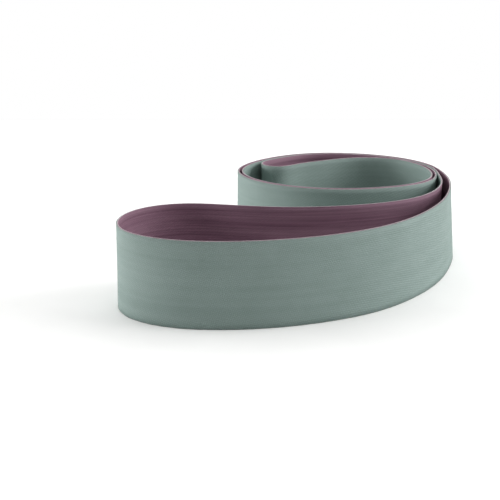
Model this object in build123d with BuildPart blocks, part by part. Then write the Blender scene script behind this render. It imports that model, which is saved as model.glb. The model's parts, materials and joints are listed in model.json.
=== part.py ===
"""Endless abrasive belt for a belt grinder, loosely coiled and standing on one cut edge.

Frame: millimetres, +Z up along the belt's width, -Y towards the open loop at the front,
origin on the plane of the lower cut edge, at the middle of the plan.
"""

from build123d import *
from math import cos, radians, sin, sqrt, tan
import os

# --- the belt itself -------------------------------------------------------------
belt_length = 1829.0        # round the middle of the cloth, the 72 inch size
belt_width = 50.8           # the 2 inch size
cloth_thickness = 0.55      # heavy X-weight cloth
bond_thickness = 0.10       # resin make coat
coat_thickness = 0.45       # structured abrasive coat
coat_setback = 0.15         # the coats stop short of each cut edge of the cloth

# --- the splice ------------------------------------------------------------------
splice_gap = 0.2            # open line of the butt joint
splice_angle = 60.0         # between the joint and the cut edge, degrees
splice_station = 0.262      # share of the way round from the left end of the front loop
tape_width = 20.0           # measured along the belt
tape_thickness = 0.12
adhesive_thickness = 0.06
adhesive_margin = 0.4       # adhesive squeezed out beyond the tape on each side
tape_setback = 0.8          # the tape stops short of each cut edge
cut_overreach = 0.2         # how far the joint's cuts pass the layers' faces

# --- how it is coiled ------------------------------------------------------------
coil_half_width = 73.5
coil_half_depth = 65.0
coil_bulge = 3.5            # the coil swells towards one side and draws in at the other
bulge_angle = -35.0         # the side that swells, from +X
strand_clearance = 1.2      # open space between two neighbouring strands
step_count = 150            # pairs of tangent arcs that carry a line round the belt

belt_thickness = cloth_thickness + bond_thickness + coat_thickness
strand_spacing = belt_thickness + strand_clearance

# Faces of the layers, as distances from the middle of the cloth, + on the abrasive side
cloth_face = cloth_thickness / 2
cloth_back = -cloth_thickness / 2
bond_face = cloth_face + bond_thickness
coat_face = bond_face + coat_thickness
adhesive_back = cloth_back - adhesive_thickness
tape_back = adhesive_back - tape_thickness

# Free stretches in plan, measured from the middle of the coil
front_loop = [
    (-139, -141), (-133, -161), (-115, -176), (-88, -183), (-57, -181.5), (-24, -173),
    (7, -157), (33, -133), (54, -101), (68, -65), (75, -28), (75, -6), (71.5, 16),
]
inner_fold = [
    (-46, 37), (-52.5, 27.5), (-51.5, 17), (-42, 12), (-27, 21), (-9, 33), (8, 41.5), (25, 45.5),
]
back_run = [
    (70.6, 12), (71.7, -12), (68, -42), (49, -79), (21, -98),
    (-10, -107), (-42, -109), (-76, -104), (-104, -100.5), (-127, -111),
]


def coil_point(angle, layer, scale):
    """Point on a strand of the coil; layer 0 winds in from the front, layer 1 back out."""
    inset = strand_spacing * (2 * angle / 360 + layer)
    inset -= coil_bulge * cos(radians(angle - bulge_angle)) ** 9
    across = coil_half_width * scale - inset
    deep = coil_half_depth * scale - inset
    return (across * cos(radians(angle)), deep * sin(radians(angle)))


def middle_line(scale):
    """Closed line in the middle of the cloth, counter-clockwise from the front loop."""
    points = [(x * scale, y * scale) for x, y in front_loop]
    points += [coil_point(angle, 0, scale) for angle in range(36, 470, 24)]
    points += [(x * scale, y * scale) for x, y in inner_fold]
    points += [coil_point(angle, 1, scale) for angle in range(402, 30, -24)]
    points += [(x * scale, y * scale) for x, y in back_run]
    return Spline(*points, periodic=True)


# The coil grows or shrinks until the belt has its full length
plan_scale = 1.0
for _ in range(4):
    plan_scale *= belt_length / middle_line(plan_scale).length
loose_line = middle_line(plan_scale)
plan_middle = loose_line.bounding_box().center()
cloth_line = loose_line.moved(Location((-plan_middle.X, -plan_middle.Y, 0)))

# Points and directions round the cloth; one tangent arc joins each to the next
arc_ends = []
for step in range(step_count):
    start = cloth_line @ (step / step_count)
    start_way = cloth_line % (step / step_count)
    end = cloth_line @ ((step + 1) / step_count % 1)
    end_way = cloth_line % ((step + 1) / step_count % 1)
    chord = end - start
    along = chord.dot(start_way + end_way)
    bend = 2 * (1 - start_way.dot(end_way))
    reach = chord.dot(chord) / (along + sqrt(along**2 + bend * chord.dot(chord)))
    middle_way = (end - end_way * reach) - (start + start_way * reach)
    arc_ends.append((start, start_way))
    arc_ends.append((start + start_way * reach + middle_way / 2, middle_way.normalized()))


def rail(distance):
    """Closed line at one distance from the middle of the cloth."""
    points = [point + way.rotate(Axis.Z, -90) * distance for point, way in arc_ends]
    arcs = [
        TangentArc(points[number - 1], points[number], tangent=arc_ends[number - 1][1])
        for number in range(len(arc_ends))
    ]
    return Wire(arcs)


def wall_section(inner, outer, setback):
    """Plan section of one layer between two distances, at its lower edge."""
    return Face(rail(outer), [rail(inner)]).moved(Location((0, 0, setback)))


# Planes up the slanted joint, each square to the cloth where the joint crosses it. Across
# its width the tape bows with the coil, by tape_bow.
joint_run = belt_width / tan(radians(splice_angle))
joint_depth = 2 * (coat_face + cut_overreach)
tape_bow = tape_width**2 * coil_half_depth / (8 * coil_half_width**2)
tape_depth = 2 * (tape_bow - tape_back + cut_overreach)
splice_planes = []
for share in (-0.1, 0.2, 0.5, 0.8, 1.1):
    station = splice_station + (share - 0.5) * joint_run / belt_length
    foot = cloth_line @ station
    height = share * belt_width
    splice_planes.append(
        Plane(origin=(foot.X, foot.Y, height), x_dir=cloth_line % station, z_dir=(0, 0, 1))
    )

adhesive_setback = tape_setback - adhesive_margin
cloth_section = wall_section(cloth_back, cloth_face, 0)
bond_section = wall_section(cloth_face, bond_face, coat_setback)
coat_section = wall_section(bond_face, coat_face, coat_setback)
adhesive_section = wall_section(adhesive_back, cloth_back, adhesive_setback)
tape_section = wall_section(tape_back, adhesive_back, tape_setback)

# Cloth backing: one woven strip whose two ends meet at the slanted joint
with BuildPart() as backing_cloth:
    add(cloth_section)
    extrude(amount=belt_width)
    for plane in splice_planes:
        with BuildSketch(plane):
            Rectangle(splice_gap, joint_depth)
    loft(mode=Mode.SUBTRACT)

# Make coat: the resin film that holds the abrasive on the cloth
with BuildPart() as bond_coat:
    add(bond_section)
    extrude(amount=belt_width - 2 * coat_setback)
    for plane in splice_planes:
        with BuildSketch(plane):
            Rectangle(splice_gap, joint_depth)
    loft(mode=Mode.SUBTRACT)

# Abrasive coat on the outer side
with BuildPart() as abrasive_coat:
    add(coat_section)
    extrude(amount=belt_width - 2 * coat_setback)
    for plane in splice_planes:
        with BuildSketch(plane):
            Rectangle(splice_gap, joint_depth)
    loft(mode=Mode.SUBTRACT)

# Adhesive across the joint on the cloth side, squeezed out a little beyond the tape
with BuildPart() as splice_adhesive:
    add(adhesive_section)
    extrude(amount=belt_width - 2 * adhesive_setback)
    for plane in splice_planes:
        with BuildSketch(plane):
            Rectangle(tape_width + 2 * adhesive_margin, tape_depth)
    loft(mode=Mode.INTERSECT)

# Film tape that carries the pull of the belt across the joint
with BuildPart() as splice_tape:
    add(tape_section)
    extrude(amount=belt_width - 2 * tape_setback)
    for plane in splice_planes:
        with BuildSketch(plane):
            Rectangle(tape_width, tape_depth)
    loft(mode=Mode.INTERSECT)

os.makedirs("parts", exist_ok=True)
backing_cloth.part.label = "backing_cloth"
export_step(backing_cloth.part, "parts/backing_cloth.step")
bond_coat.part.label = "bond_coat"
export_step(bond_coat.part, "parts/bond_coat.step")
abrasive_coat.part.label = "abrasive_coat"
export_step(abrasive_coat.part, "parts/abrasive_coat.step")
splice_adhesive.part.label = "splice_adhesive"
export_step(splice_adhesive.part, "parts/splice_adhesive.step")
splice_tape.part.label = "splice_tape"
export_step(splice_tape.part, "parts/splice_tape.step")
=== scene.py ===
import json
from math import cos, pi, radians, sin, tan

import bpy
import numpy as np
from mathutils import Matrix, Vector

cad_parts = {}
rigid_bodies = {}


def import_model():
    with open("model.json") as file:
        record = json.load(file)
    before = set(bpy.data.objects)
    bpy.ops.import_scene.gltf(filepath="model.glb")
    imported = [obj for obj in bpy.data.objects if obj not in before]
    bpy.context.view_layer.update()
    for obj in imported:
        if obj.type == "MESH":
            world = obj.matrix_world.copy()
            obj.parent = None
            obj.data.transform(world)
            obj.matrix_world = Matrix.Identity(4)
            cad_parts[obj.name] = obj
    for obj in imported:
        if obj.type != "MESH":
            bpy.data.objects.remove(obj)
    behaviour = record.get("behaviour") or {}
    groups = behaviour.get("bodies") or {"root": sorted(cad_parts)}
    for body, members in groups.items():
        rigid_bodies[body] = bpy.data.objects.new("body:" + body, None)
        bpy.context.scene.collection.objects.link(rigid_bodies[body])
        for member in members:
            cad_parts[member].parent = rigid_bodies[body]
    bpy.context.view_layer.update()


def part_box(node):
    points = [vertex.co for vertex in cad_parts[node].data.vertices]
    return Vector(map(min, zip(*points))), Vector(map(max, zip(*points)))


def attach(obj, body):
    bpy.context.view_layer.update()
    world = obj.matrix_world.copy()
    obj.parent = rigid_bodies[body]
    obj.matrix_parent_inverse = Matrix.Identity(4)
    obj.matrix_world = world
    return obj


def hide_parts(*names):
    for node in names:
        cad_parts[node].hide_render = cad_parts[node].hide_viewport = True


for leftover in list(bpy.data.objects):
    bpy.data.objects.remove(leftover)
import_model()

MM = 0.001
CLOTH_LOW, CLOTH_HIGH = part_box("backing_cloth")
FLOOR = CLOTH_LOW.z

# --- the belt, in millimetres, as its CAD part gives it -------------------------------
WIDTH = (CLOTH_HIGH.z - CLOTH_LOW.z) / MM
BELT_LENGTH = 1829.0
CLOTH = 0.55
BOND = 0.10
COAT = 0.45
COAT_SETBACK = 0.15
TAPE_WIDTH = 20.0
TAPE = 0.12
ADHESIVE = 0.06
ADHESIVE_MARGIN = 0.4
TAPE_SETBACK = 0.8
SPLICE_GAP = 0.2
SPLICE_ANGLE = 60
SPLICE_STATION = 0.262
COIL_HALF_WIDTH = 73.5
COIL_HALF_DEPTH = 65.0
COIL_BULGE = 3.5
BULGE_ANGLE = -35
BULGE_SHARPNESS = 9
STRAND_CLEARANCE = 1.2
STRAND_SPACING = CLOTH + BOND + COAT + STRAND_CLEARANCE

# Degrees round the coil at its points: winding in from the front, and back out
WINDING_IN = range(36, 470, 24)
WINDING_OUT = range(402, 30, -24)

# Free stretches in plan, measured from the middle of the coil
FRONT_LOOP = [
    (-139, -141), (-133, -161), (-115, -176), (-88, -183), (-57, -181.5), (-24, -173),
    (7, -157), (33, -133), (54, -101), (68, -65), (75, -28), (75, -6), (71.5, 16),
]
INNER_FOLD = [
    (-46, 37), (-52.5, 27.5), (-51.5, 17), (-42, 12), (-27, 21), (-9, 33), (8, 41.5), (25, 45.5),
]
BACK_RUN = [
    (70.6, 12), (71.7, -12), (68, -42), (49, -79), (21, -98),
    (-10, -107), (-42, -109), (-76, -104), (-104, -100.5), (-127, -111),
]

# Positive distances from the middle of the cloth are on the abrasive side
CLOTH_FACE = CLOTH / 2
CLOTH_BACK = -CLOTH / 2
BOND_FACE = CLOTH_FACE + BOND
COAT_FACE = BOND_FACE + COAT
ADHESIVE_BACK = CLOTH_BACK - ADHESIVE
TAPE_BACK = ADHESIVE_BACK - TAPE

random = np.random.default_rng(72)


# --- the line that the belt follows ---------------------------------------------------
def coil_point(angle, strand, scale):
    """Point on a strand of the coil; strand 0 winds in from the front, strand 1 back out."""
    inset = STRAND_SPACING * (2 * angle / 360 + strand)
    inset -= COIL_BULGE * cos(radians(angle - BULGE_ANGLE)) ** BULGE_SHARPNESS
    across = COIL_HALF_WIDTH * scale - inset
    deep = COIL_HALF_DEPTH * scale - inset
    return (across * cos(radians(angle)), deep * sin(radians(angle)))


def way_points(scale):
    """Points that the belt passes, counter-clockwise from the front loop."""
    points = [(x * scale, y * scale) for x, y in FRONT_LOOP]
    points += [coil_point(angle, 0, scale) for angle in WINDING_IN]
    points += [(x * scale, y * scale) for x, y in INNER_FOLD]
    points += [coil_point(angle, 1, scale) for angle in WINDING_OUT]
    points += [(x * scale, y * scale) for x, y in BACK_RUN]
    return np.array(points)


def springy_line(points, steps=64):
    """The line of a springy strip through the points: a closed cubic spline, finely stepped."""
    ahead = np.roll(points, -1, 0)
    gap = np.linalg.norm(ahead - points, axis=1)
    before = np.roll(gap, 1)
    system = np.diag(2 * (before + gap))
    system += np.roll(np.diag(gap), 1, 1) + np.roll(np.diag(before), -1, 1)
    slope = (ahead - points) / gap[:, None]
    bend = np.linalg.solve(system, 6 * (slope - np.roll(slope, 1, 0)))
    bend_ahead = np.roll(bend, -1, 0)
    far = (np.arange(steps) / steps)[None, :, None]
    near = 1 - far
    line = near * points[:, None] + far * ahead[:, None]
    sag = (near**3 - near) * bend[:, None] + (far**3 - far) * bend_ahead[:, None]
    return (line + (gap**2 / 6)[:, None, None] * sag).reshape(-1, 2)


def line_length(line):
    """Length once round a closed line."""
    return np.linalg.norm(np.roll(line, -1, 0) - line, axis=1).sum()


plan_scale = 1.0
for _ in range(4):
    plan_scale *= BELT_LENGTH / line_length(springy_line(way_points(plan_scale)))
LINE = springy_line(way_points(plan_scale))
LINE -= (LINE.min(0) + LINE.max(0)) / 2
LINE += np.array([CLOTH_LOW.x + CLOTH_HIGH.x, CLOTH_LOW.y + CLOTH_HIGH.y]) / 2 / MM
LENGTH = line_length(LINE)
ROUND = np.concatenate([[0], np.cumsum(np.linalg.norm(np.roll(LINE, -1, 0) - LINE, axis=1))])
WAYS = np.roll(LINE, -1, 0) - np.roll(LINE, 1, 0)


def along_line(s):
    """Point and outward direction at distances round the belt."""
    s = np.mod(s, LENGTH)
    x, y = [np.interp(s, ROUND, np.append(LINE[:, k], LINE[0, k])) for k in (0, 1)]
    way_x, way_y = [np.interp(s, ROUND, np.append(WAYS[:, k], WAYS[0, k])) for k in (0, 1)]
    size = np.hypot(way_x, way_y)
    return x, y, way_y / size, -way_x / size


# --- how the strip stands -------------------------------------------------------------
SEAM = SPLICE_STATION * LENGTH
SEAM_RUN = WIDTH / tan(radians(SPLICE_ANGLE))
SLANT_FADE = 60             # this far from the splice, the mesh no longer leans with its cut
WAVE_HEIGHT = 0.035
CUP = 0.4
CUP_MEAN = 0.08             # the cup is counted from here, so the belt keeps its line

# Slow waves: turns round the belt, how they lean with height, and where they start
WAVES = [
    (random.integers(6, 30), random.uniform(-1, 1), random.uniform(0, 2 * pi)) for _ in range(9)
]

# The foot stands out past the upper edge here: place round the belt, spread, how far out
SPLAYS = [(0, 110, 1.0), (320, 110, 4.2), (567, 60, 0.6)]


def give(s, z):
    """Cloth that was rolled up never stands quite flat: waves, a slight cup, a splayed foot."""
    share = z / WIDTH - 0.5
    wave = sum(
        np.sin(turns * 2 * pi * s / LENGTH + 3 * lean * share + start)
        for turns, lean, start in WAVES
    )
    splay = 0
    for place, spread, out in SPLAYS:
        away = (np.mod(s - place + LENGTH / 2, LENGTH) - LENGTH / 2) / spread
        splay = splay + out * np.exp(-away**2)
    return WAVE_HEIGHT * wave + CUP * (share**2 - CUP_MEAN) + splay * (0.5 - share)


def slant(z):
    """How far round the belt the splice lies at this height, from its middle."""
    return (z / WIDTH - 0.5) * SEAM_RUN


def lay_out(s, z, distance):
    """Points in metres, from distance round the belt, height and distance off the middle."""
    x, y, out_x, out_y = along_line(s)
    distance = distance + give(s, z)
    return np.stack([x + out_x * distance, y + out_y * distance, z + FLOOR / MM], -1) * MM


# --- making meshes --------------------------------------------------------------------
def make_piece(name, points, faces, flat, corner_uv, slots, materials):
    """A mesh on the belt's body; flat and slots give each face's shading and material."""
    mesh = bpy.data.meshes.new(name)
    mesh.from_pydata(points.tolist(), [], faces.tolist())
    for material in materials:
        mesh.materials.append(material)
    mesh.polygons.foreach_set("material_index", slots.astype(np.int32))
    mesh.polygons.foreach_set("use_smooth", ~flat)
    belt_map = mesh.uv_layers.new(name="along_the_belt")
    belt_map.data.foreach_set("uv", corner_uv.astype(np.float32).ravel())
    mesh.update()
    piece = bpy.data.objects.new(name, mesh)
    bpy.context.scene.collection.objects.link(piece)
    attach(piece, "root")
    return piece


def layer(name, back, face, foot, head, half_length, materials, step, rows=16):
    """A closed sheet on the belt's line, from back to face, counted from the middle of the cloth.

    foot and head give the lower and upper edge at distances round the belt. The sheet runs
    both ways from the splice, or all the way round where half_length is half the belt, and
    both its ends are cut on the splice's slant.
    """
    columns = int(round(2 * half_length / step))
    centre = SEAM if half_length < LENGTH / 4 else SEAM + LENGTH / 2
    along = np.linspace(-half_length, half_length, columns + 1)[:, None]
    share_up = (np.arange(rows + 1) / rows)[None, :]
    slanting = np.clip(1 - (half_length - abs(along)) / SLANT_FADE, 0, 1)
    s = centre + along + slant(share_up * WIDTH) * slanting
    z = foot(s) + share_up * (head(s) - foot(s))
    points = np.stack([lay_out(s, z, face), lay_out(s, z, back)[:, ::-1]], 1).reshape(-1, 3)

    ring = 2 * (rows + 1)
    i = np.arange(columns)[:, None] * ring
    j = np.arange(ring)[None, :]
    beside = (j + 1) % ring
    walls = np.stack([i + j, i + ring + j, i + ring + beside, i + beside], -1).reshape(-1, 4)
    on_rim = np.tile(np.arange(ring) % (rows + 1) == rows, columns)
    k = np.arange(rows)
    first_end = np.stack([k, k + 1, ring - 2 - k, ring - 1 - k], -1)
    last_end = (first_end + columns * ring)[:, ::-1]
    faces = np.concatenate([walls, first_end, last_end])
    cut = np.concatenate([on_rim, np.ones(2 * rows, bool)])

    round_belt = np.stack([s, s[:, ::-1]], 1).ravel()
    up_belt = np.stack([z, z[:, ::-1]], 1).ravel()
    uv = np.stack([round_belt, up_belt], -1) * MM
    corner_uv = uv[faces]
    rims = np.flatnonzero(on_rim)
    corner_uv[rims, :2, 1] = 0
    corner_uv[rims, 2:, 1] = (face - back) * MM
    slots = cut * (len(materials) - 1)
    return make_piece(name, points, faces, cut, corner_uv, slots, materials)


def loose_yarn_ends(count, material):
    """Short ends of yarn that the slitting blade left standing on both cut edges.

    Each is a thin three-sided spike in two lengths. Those under the belt are pressed flat.
    """
    upper_share = 0.75
    upper_root = WIDTH - 0.05
    lower_root = 0.2
    pressed_rise = 0.1
    lean = 0.45
    curl = 0.6
    reach_spread = (3, 0.11)    # about 0.3 mm long, a few of them 1 mm
    s = random.uniform(0, LENGTH, count)
    z = np.where(random.random(count) < upper_share, upper_root, lower_root)
    x, y, out_x, out_y = along_line(s)
    inside = random.uniform(CLOTH_BACK, CLOTH_FACE, count) + give(s, z)
    root = np.stack([x + out_x * inside, y + out_y * inside, z + FLOOR / MM], -1)
    out = np.stack([out_x, out_y, 0 * s], -1)
    way = np.stack([-out_y, out_x, 0 * s], -1)
    up = np.array([0, 0, 1.0]) * np.where(z > WIDTH / 2, 1, pressed_rise)[:, None]
    lean_out, lean_along = random.normal(0, lean, (2, count, 1))
    grow = out * lean_out + way * lean_along + up
    reach = random.gamma(*reach_spread, count)[:, None]
    rings = []
    for share, thick in ((0, 0.04), (0.5, 0.03), (1, 0.01)):
        middle = root + (grow * share + out * lean_along * curl * share**2) * reach
        for turn in (0, 2 * pi / 3, 4 * pi / 3):
            rings.append(middle + (out * cos(turn) + way * sin(turn)) * thick)
    points = np.stack(rings, 1).reshape(-1, 3) * MM
    sides = [(k, (k + 1) % 3, 3 + (k + 1) % 3) for k in range(3)]
    sides += [(k, 3 + (k + 1) % 3, 3 + k) for k in range(3)]
    sides += [(a + 3, b + 3, c + 3) for a, b, c in sides] + [(0, 2, 1), (6, 7, 8)]
    faces = (np.arange(count)[:, None, None] * 9 + np.array(sides)[None]).reshape(-1, 3)
    corner_uv = np.repeat(np.stack([s, z], -1) * MM, 9, 0)[faces]
    flat = np.zeros(len(faces), bool)
    return make_piece("loose_yarn_ends", points, faces, flat, corner_uv, flat, [material])


# --- materials ------------------------------------------------------------------------
# The scale of a pattern is its repeats per metre of belt, first along it and then across it.
def linear(colour):
    """An sRGB hex colour as the linear light that shaders work in."""
    parts = [int(colour[k:k + 2], 16) / 255 for k in (1, 3, 5)]
    return tuple(c / 12.92 if c < 0.04045 else ((c + 0.055) / 1.055) ** 2.4 for c in parts) + (1,)


def add(tree, kind, inputs, output=0, **settings):
    """Add a node with its settings, values and links, and hand back one of its outputs.

    Inputs go by name, or by number on a maths node, which calls them all the same.
    """
    made = tree.nodes.new("ShaderNode" + kind)
    for name, value in settings.items():
        setattr(made, name, value)
    for name, value in inputs.items():
        if isinstance(value, bpy.types.NodeSocket):
            tree.links.new(value, made.inputs[name])
        else:
            made.inputs[name].default_value = value
    return made.outputs[output]


def finish(name, sockets_of):
    """A material whose sockets_of function gives what goes into its shader's sockets."""
    material = bpy.data.materials.new(name)
    material.use_nodes = True
    tree = material.node_tree
    shader = next(n for n in tree.nodes if n.type == "BSDF_PRINCIPLED")
    for socket, value in sockets_of(tree).items():
        if isinstance(value, bpy.types.NodeSocket):
            tree.links.new(value, shader.inputs[socket])
        else:
            shader.inputs[socket].default_value = value
    return material


def structured_abrasive(tree):
    """Aluminium oxide grain cast in resin as rows of small heaps: grey-green and dead matt.

    The heaps are drawn 1.1 mm apart, coarser than the real 0.6 mm, so that they show. The
    coat is rubbed pale in a ragged line about 0.3 mm wide along each edge. Shade is painted
    into the valleys between the heaps, and glints are painted as pale specks on the grain.
    """
    heap = 0.0011
    row_slant = 0.32
    heap_rounding = 0.15
    half_width = WIDTH * MM / 2
    raggedness = 0.0012
    place = add(tree, "UVMap", {}, uv_map="along_the_belt")
    rows = add(tree, "Mapping", {
        "Vector": place, "Scale": (1 / heap, 1 / heap, 1), "Rotation": (0, 0, row_slant),
    })
    u = add(tree, "SeparateXYZ", {"Vector": rows})
    v = u.node.outputs["Y"]
    side_u = add(tree, "Math", {0: u, 1: 0.5}, operation="PINGPONG")
    side_v = add(tree, "Math", {0: v, 1: 0.5}, operation="PINGPONG")
    heaps = add(tree, "Math", {0: side_u, 1: side_v, 2: heap_rounding}, operation="SMOOTH_MIN")
    grain_place = add(tree, "Mapping", {"Vector": place, "Scale": (2200, 2200, 1)})
    grain = add(tree, "TexNoise", {
        "Vector": grain_place, "Scale": 1, "Detail": 4, "Roughness": 0.65,
    })
    patch_place = add(tree, "Mapping", {"Vector": place, "Scale": (35, 60, 1)})
    patches = add(tree, "TexNoise", {
        "Vector": patch_place, "Scale": 1, "Detail": 4, "Roughness": 0.55,
    })
    coating_place = add(tree, "Mapping", {"Vector": place, "Scale": (5, 260, 1)})
    coating = add(tree, "TexNoise", {"Vector": coating_place, "Scale": 1, "Detail": 3})
    height = add(tree, "SeparateXYZ", {"Vector": place}, "Y")
    from_middle = add(tree, "Math", {0: height, 1: half_width}, operation="SUBTRACT")
    out = add(tree, "Math", {0: from_middle}, operation="ABSOLUTE")
    ragged = add(tree, "Math", {0: grain, 1: raggedness, 2: out}, operation="MULTIPLY_ADD")
    worn_edge = add(tree, "MapRange", {
        "Value": ragged, "From Min": half_width + 0.0003, "From Max": half_width + 0.0007,
    })
    cloudy = add(tree, "MapRange", {"Value": patches, "From Min": 0.3, "From Max": 0.7})
    streaks = add(tree, "MapRange", {
        "Value": coating, "From Min": 0.35, "From Max": 0.7, "To Max": 0.35,
    })
    # Painted shade: the coat is darkened in the valleys between the heaps
    painted_valley_shade = add(tree, "MapRange", {
        "Value": heaps, "From Min": 0.02, "From Max": 0.30, "To Min": 0.42, "To Max": 0.0,
    })
    # Painted highlight: pale specks on the grain stand in for glints of light
    painted_glints = add(tree, "MapRange", {
        "Value": grain, "From Min": 0.45, "From Max": 0.8, "To Max": 0.5,
    })
    colour = linear("#6c7f7a")
    for share, over in (
        (cloudy, "#768884"), (streaks, "#859692"), (painted_valley_shade, "#4c5d57"),
        (painted_glints, "#a3b2ac"), (worn_edge, "#9c9f9b"),
    ):
        layered = {"Factor": share, "A": colour, "B": linear(over)}
        colour = add(tree, "Mix", layered, "Result", data_type="RGBA")
    rough = add(tree, "MapRange", {
        "Value": grain, "From Min": 0.3, "From Max": 0.7, "To Min": 0.62, "To Max": 0.85,
    })
    relief = add(tree, "Math", {0: grain, 1: 0.25, 2: heaps}, operation="MULTIPLY_ADD")
    bump = add(tree, "Bump", {"Height": relief, "Distance": 0.00035, "Strength": 0.6})
    return {
        "Base Color": colour, "Roughness": rough, "Normal": bump, "IOR": 1.55,
        "Specular IOR Level": 0.5,
    }


def resin_filled_twill(tree):
    """Polycotton twill, dyed and filled with maroon resin; its warp lies along the belt.

    Warp yarns are 0.5 mm apart. Uneven yarn takes the resin unevenly, which shows as long
    pale and dark streaks.
    """
    yarn = 0.0005
    float_length = 0.0012
    twill_rise = 0.6667
    place = add(tree, "UVMap", {}, uv_map="along_the_belt")
    cloth = add(tree, "Mapping", {
        "Vector": place, "Scale": (pi / float_length, pi / yarn, 1),
    })
    along = add(tree, "SeparateXYZ", {"Vector": cloth})
    across = along.node.outputs["Y"]
    wave = add(tree, "Math", {0: across}, operation="SINE")
    ridge = add(tree, "Math", {0: wave}, operation="ABSOLUTE")
    diagonal = add(tree, "Math", {0: across, 1: twill_rise, 2: along}, operation="MULTIPLY_ADD")
    floats = add(tree, "Math", {0: diagonal}, operation="SINE")
    weave = add(tree, "Math", {0: floats, 1: 0.3, 2: ridge}, operation="MULTIPLY_ADD")
    fuzz_place = add(tree, "Mapping", {"Vector": place, "Scale": (1000, 3600, 1)})
    fuzz = add(tree, "TexNoise", {
        "Vector": fuzz_place, "Scale": 1, "Detail": 3, "Roughness": 0.6,
    })
    streak_place = add(tree, "Mapping", {"Vector": place, "Scale": (9, 800, 1)})
    streak = add(tree, "TexNoise", {
        "Vector": streak_place, "Scale": 1, "Detail": 3, "Roughness": 0.6,
    })
    broad_place = add(tree, "Mapping", {"Vector": place, "Scale": (7, 190, 1)})
    broad = add(tree, "TexNoise", {"Vector": broad_place, "Scale": 1, "Detail": 2})
    cloud_place = add(tree, "Mapping", {"Vector": place, "Scale": (22, 45, 1)})
    cloudy = add(tree, "TexNoise", {"Vector": cloud_place, "Scale": 1, "Detail": 3})
    fine = add(tree, "MapRange", {"Value": streak, "From Min": 0.3, "From Max": 0.7})
    pale = add(tree, "MapRange", {
        "Value": broad, "From Min": 0.42, "From Max": 0.7, "To Max": 0.55,
    })
    soaked = add(tree, "MapRange", {
        "Value": cloudy, "From Min": 0.45, "From Max": 0.75, "To Max": 0.4,
    })
    # Painted shade: the cloth is darkened in the hollows between the yarns
    painted_weave_shade = add(tree, "MapRange", {
        "Value": weave, "From Min": 0.0, "From Max": 0.7, "To Min": 0.4, "To Max": 0.0,
    })
    hairs = add(tree, "MapRange", {
        "Value": fuzz, "From Min": 0.5, "From Max": 0.8, "To Max": 0.3,
    })
    colour = linear("#5f4051")
    for share, over in (
        (fine, "#896779"), (pale, "#967786"), (soaked, "#563c4b"), (painted_weave_shade, "#412d3a"),
        (hairs, "#a58a96"),
    ):
        layered = {"Factor": share, "A": colour, "B": linear(over)}
        colour = add(tree, "Mix", layered, "Result", data_type="RGBA")
    rough = add(tree, "MapRange", {
        "Value": fuzz, "From Min": 0.3, "From Max": 0.7, "To Min": 0.62, "To Max": 0.85,
    })
    relief = add(tree, "Math", {0: fuzz, 1: 0.4, 2: weave}, operation="MULTIPLY_ADD")
    bump = add(tree, "Bump", {"Height": relief, "Distance": 0.00012, "Strength": 0.6})
    return {
        "Base Color": colour, "Roughness": rough, "Normal": bump, "IOR": 1.5,
        "Specular IOR Level": 0.35, "Sheen Weight": 0.15, "Sheen Roughness": 0.5,
        "Sheen Tint": linear("#b79aa4"),
    }


def slit_cloth_edge(tree):
    """Where the blade cut the cloth: ends of pale weft yarn, 0.6 mm apart, in pinkish resin."""
    yarn_along = 0.0006
    yarn_through = 0.0003
    place = add(tree, "UVMap", {}, uv_map="along_the_belt")
    yarn_place = add(tree, "Mapping", {
        "Vector": place, "Scale": (1 / yarn_along, 1 / yarn_through, 1),
    })
    ends = add(tree, "TexVoronoi", {"Vector": yarn_place, "Scale": 1})
    fuzz_place = add(tree, "Mapping", {"Vector": place, "Scale": (2500, 5000, 1)})
    fuzz = add(tree, "TexNoise", {
        "Vector": fuzz_place, "Scale": 1, "Detail": 3, "Roughness": 0.6,
    })
    soil_place = add(tree, "Mapping", {"Vector": place, "Scale": (40, 40, 1)})
    soiled = add(tree, "TexNoise", {
        "Vector": soil_place, "Scale": 1, "Detail": 3, "Roughness": 0.6,
    })
    yarn = add(tree, "MapRange", {"Value": ends, "From Min": 0.1, "From Max": 0.6})
    hairs = add(tree, "MapRange", {
        "Value": fuzz, "From Min": 0.4, "From Max": 0.8, "To Max": 0.5,
    })
    dirt = add(tree, "MapRange", {
        "Value": soiled, "From Min": 0.4, "From Max": 0.7, "To Max": 0.5,
    })
    colour = linear("#bdb2b4")
    for share, over in ((yarn, "#8e7d86"), (hairs, "#cdc4c3"), (dirt, "#7a6872")):
        layered = {"Factor": share, "A": colour, "B": linear(over)}
        colour = add(tree, "Mix", layered, "Result", data_type="RGBA")
    bump = add(tree, "Bump", {"Height": fuzz, "Distance": 0.0001, "Strength": 0.8})
    return {
        "Base Color": colour, "Roughness": 0.88, "Normal": bump, "IOR": 1.5,
        "Specular IOR Level": 0.3, "Sheen Weight": 0.2,
    }


def cured_bond_resin(tree):
    """Phenolic make coat, dark and slightly glossy where it shows between cloth and grain."""
    place = add(tree, "UVMap", {}, uv_map="along_the_belt")
    uneven_place = add(tree, "Mapping", {"Vector": place, "Scale": (330, 1000, 1)})
    uneven = add(tree, "TexNoise", {
        "Vector": uneven_place, "Scale": 1, "Detail": 3, "Roughness": 0.6,
    })
    share = add(tree, "MapRange", {"Value": uneven, "From Min": 0.3, "From Max": 0.7})
    shades = {"Factor": share, "A": linear("#4a3d3b"), "B": linear("#6d5f5a")}
    colour = add(tree, "Mix", shades, "Result", data_type="RGBA")
    rough = add(tree, "MapRange", {
        "Value": uneven, "From Min": 0.3, "From Max": 0.7, "To Min": 0.35, "To Max": 0.55,
    })
    bump = add(tree, "Bump", {"Height": uneven, "Distance": 0.00005, "Strength": 0.5})
    return {"Base Color": colour, "Roughness": rough, "Normal": bump, "IOR": 1.6}


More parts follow.
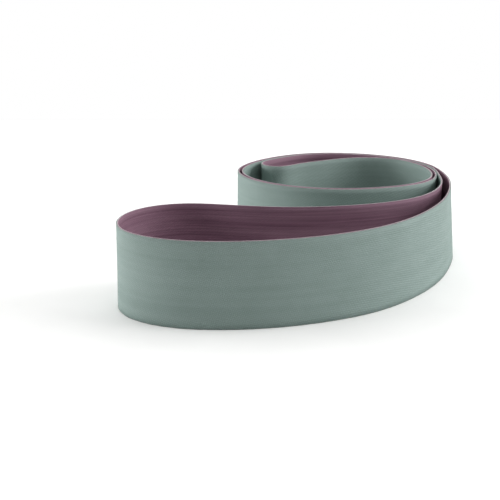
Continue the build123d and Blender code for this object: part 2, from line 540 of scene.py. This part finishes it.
def threaded_film_tape(tree):
    """Splice tape: satin polyester film over straight threads, 0.8 mm apart, that take the pull."""
    thread_spacing = 0.0008
    place = add(tree, "UVMap", {}, uv_map="along_the_belt")
    level = add(tree, "SeparateXYZ", {"Vector": place}, "Y")
    count = add(tree, "Math", {0: level, 1: pi / thread_spacing}, operation="MULTIPLY")
    wave = add(tree, "Math", {0: count}, operation="SINE")
    thread = add(tree, "Math", {0: wave}, operation="ABSOLUTE")
    scuff_place = add(tree, "Mapping", {"Vector": place, "Scale": (250, 1600, 1)})
    scuffs = add(tree, "TexNoise", {
        "Vector": scuff_place, "Scale": 1, "Detail": 4, "Roughness": 0.6,
    })
    raised = add(tree, "MapRange", {"Value": thread, "From Min": 0.2, "From Max": 0.9})
    rubbed = add(tree, "MapRange", {
        "Value": scuffs, "From Min": 0.5, "From Max": 0.8, "To Max": 0.4,
    })
    colour = linear("#8a8272")
    for share, over in ((raised, "#a8a08e"), (rubbed, "#c4bdae")):
        layered = {"Factor": share, "A": colour, "B": linear(over)}
        colour = add(tree, "Mix", layered, "Result", data_type="RGBA")
    rough = add(tree, "MapRange", {
        "Value": scuffs, "From Min": 0.3, "From Max": 0.7, "To Min": 0.28, "To Max": 0.48,
    })
    bump = add(tree, "Bump", {"Height": thread, "Distance": 0.00006, "Strength": 0.6})
    return {"Base Color": colour, "Roughness": rough, "Normal": bump, "IOR": 1.58}


def splice_glue(tree):
    """Two-part polyurethane glue: an amber, glossy bead beyond the tape, with small bubbles."""
    place = add(tree, "UVMap", {}, uv_map="along_the_belt")
    bubble_place = add(tree, "Mapping", {"Vector": place, "Scale": (1000, 1000, 1)})
    bubbles = add(tree, "TexNoise", {
        "Vector": bubble_place, "Scale": 1, "Detail": 3, "Roughness": 0.6,
    })
    share = add(tree, "MapRange", {"Value": bubbles, "From Min": 0.3, "From Max": 0.7})
    shades = {"Factor": share, "A": linear("#8a6a3a"), "B": linear("#a98a55")}
    colour = add(tree, "Mix", shades, "Result", data_type="RGBA")
    rough = add(tree, "MapRange", {
        "Value": bubbles, "From Min": 0.3, "From Max": 0.7, "To Min": 0.18, "To Max": 0.32,
    })
    bump = add(tree, "Bump", {"Height": bubbles, "Distance": 0.0001, "Strength": 0.5})
    return {"Base Color": colour, "Roughness": rough, "Normal": bump, "IOR": 1.5}


def painted_table(tree):
    """Matt white table top with the faintest unevenness in its paint, in spots 40 mm wide."""
    spots = add(tree, "TexNoise", {"Scale": 30, "Detail": 2})
    share = add(tree, "MapRange", {"Value": spots, "From Min": 0.3, "From Max": 0.7})
    shades = {"Factor": share, "A": linear("#f3f3f2"), "B": linear("#f6f6f5")}
    colour = add(tree, "Mix", shades, "Result", data_type="RGBA")
    return {"Base Color": colour, "Roughness": 0.9, "Specular IOR Level": 0.1}


# --- pieces ---------------------------------------------------------------------------
BITE_DEPTH = 0.03
BITES = [(random.integers(200, 1400), random.uniform(0, 2 * pi)) for _ in range(14)]


def chipped(level, inward):
    """An edge of the coat, where the blade broke grain away to about 0.2 mm inside the cut."""
    def edge(s):
        bite = sum(np.sin(turns * 2 * pi * s / LENGTH + start) for turns, start in BITES)
        return level + inward * (COAT_SETBACK + BITE_DEPTH * np.maximum(bite, 0))
    return edge


def straight(level):
    """An edge at one height all the way round."""
    return lambda s: np.full_like(s, level)


STEP = 1.5
SPLICE_STEP = 0.5
YARN_ENDS = 2200
ALL_ROUND = (LENGTH - SPLICE_GAP) / 2
slit_edge = finish("slit_cloth_edge", slit_cloth_edge)
glue_inset = TAPE_SETBACK - ADHESIVE_MARGIN

woven_cloth = layer(
    "woven_cloth", CLOTH_BACK, CLOTH_FACE, straight(0), straight(WIDTH),
    ALL_ROUND, [finish("resin_filled_twill", resin_filled_twill), slit_edge], STEP,
)
make_coat = layer(
    "make_coat", CLOTH_FACE, BOND_FACE, straight(COAT_SETBACK), straight(WIDTH - COAT_SETBACK),
    ALL_ROUND, [finish("cured_bond_resin", cured_bond_resin)], STEP,
)
grain_coat = layer(
    "grain_coat", BOND_FACE, COAT_FACE, chipped(0, 1), chipped(WIDTH, -1),
    ALL_ROUND, [finish("structured_abrasive", structured_abrasive)], STEP,
)
glue_film = layer(
    "glue_film", ADHESIVE_BACK, CLOTH_BACK, straight(glue_inset), straight(WIDTH - glue_inset),
    TAPE_WIDTH / 2 + ADHESIVE_MARGIN, [finish("splice_glue", splice_glue)], SPLICE_STEP,
)
tape_film = layer(
    "tape_film", TAPE_BACK, ADHESIVE_BACK, straight(TAPE_SETBACK), straight(WIDTH - TAPE_SETBACK),
    TAPE_WIDTH / 2, [finish("threaded_film_tape", threaded_film_tape)], SPLICE_STEP,
)
for piece, node in (
    (woven_cloth, "backing_cloth"), (make_coat, "bond_coat"), (grain_coat, "abrasive_coat"),
    (glue_film, "splice_adhesive"), (tape_film, "splice_tape"),
):
    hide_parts(node)

yarn_ends = loose_yarn_ends(YARN_ENDS, slit_edge)

# --- studio ---------------------------------------------------------------------------
scene = bpy.context.scene
scene.view_settings.view_transform = "Standard"

# Small enough that its far edge is still fully lit and melts into the white room
TABLE_HALF = 0.6
table_corners = [
    (x * TABLE_HALF, y * TABLE_HALF, FLOOR) for x, y in ((-1, -1), (1, -1), (1, 1), (-1, 1))
]
table_mesh = bpy.data.meshes.new("table_top")
table_mesh.from_pydata(table_corners, [], [(0, 1, 2, 3)])
table_mesh.materials.append(finish("painted_table", painted_table))
table_top = bpy.data.objects.new("table_top", table_mesh)
scene.collection.objects.link(table_top)

# The room's walls look white, but throw less light than the lamps
ROOM_LIGHT = 0.3
ROOM_SEEN = 1.0
world = bpy.data.worlds.new("white_room")
scene.world = world
world.use_nodes = True
room = next(n for n in world.node_tree.nodes if n.type == "BACKGROUND")
room.inputs["Color"].default_value = (1, 1, 1, 1)
seen = add(world.node_tree, "LightPath", {})
bright = add(world.node_tree, "MapRange", {
    "Value": seen, "To Min": ROOM_LIGHT, "To Max": ROOM_SEEN,
})
world.node_tree.links.new(bright, room.inputs["Strength"])


def light(kind, name, place, towards, power, **settings):
    """A lamp that looks at a place on the table."""
    data = bpy.data.lights.new(name, kind)
    data.energy = power
    for setting, value in settings.items():
        setattr(data, setting, value)
    lamp = bpy.data.objects.new(name, data)
    scene.collection.objects.link(lamp)
    lamp.location = place
    lamp.rotation_euler = (Vector(towards) - Vector(place)).to_track_quat("-Z", "Y").to_euler()
    lamp.visible_camera = False


light(
    "SUN", "overhead_diffuser", place=(0.5, -0.3, 2.4), towards=(0, 0, 0), power=0.8,
    angle=radians(100),
)
light(
    "AREA", "left_softbox", place=(-1.3, 0.05, 0.28), towards=(0, 0, 0.03), power=18,
    shape="RECTANGLE", size=1.0, size_y=0.5,
)
light(
    "AREA", "right_softbox", place=(1.3, 0.0, 0.55), towards=(0, 0, 0.03), power=20,
    shape="RECTANGLE", size=1.0, size_y=0.8,
)
light(
    "AREA", "back_panel", place=(0, 4.6, 2.2), towards=(0, 4.6, 0), power=190,
    shape="RECTANGLE", size=7.0, size_y=7.0,
)

CAMERA_SIDE = -0.031
CAMERA_BACK = 0.598
CAMERA_HEIGHT = 0.1907
CAMERA_DOWN = 17.0
camera_data = bpy.data.cameras.new("camera")
camera_data.sensor_width = 36
camera_data.lens = 66.2
camera_data.clip_start, camera_data.clip_end = 0.01, 100
camera = bpy.data.objects.new("camera", camera_data)
scene.collection.objects.link(camera)
middle = (CLOTH_LOW + CLOTH_HIGH) / 2
camera.location = (middle.x + CAMERA_SIDE, middle.y - CAMERA_BACK, FLOOR + CAMERA_HEIGHT)
camera.rotation_euler = (radians(90 - CAMERA_DOWN), 0, 0)
scene.camera = camera
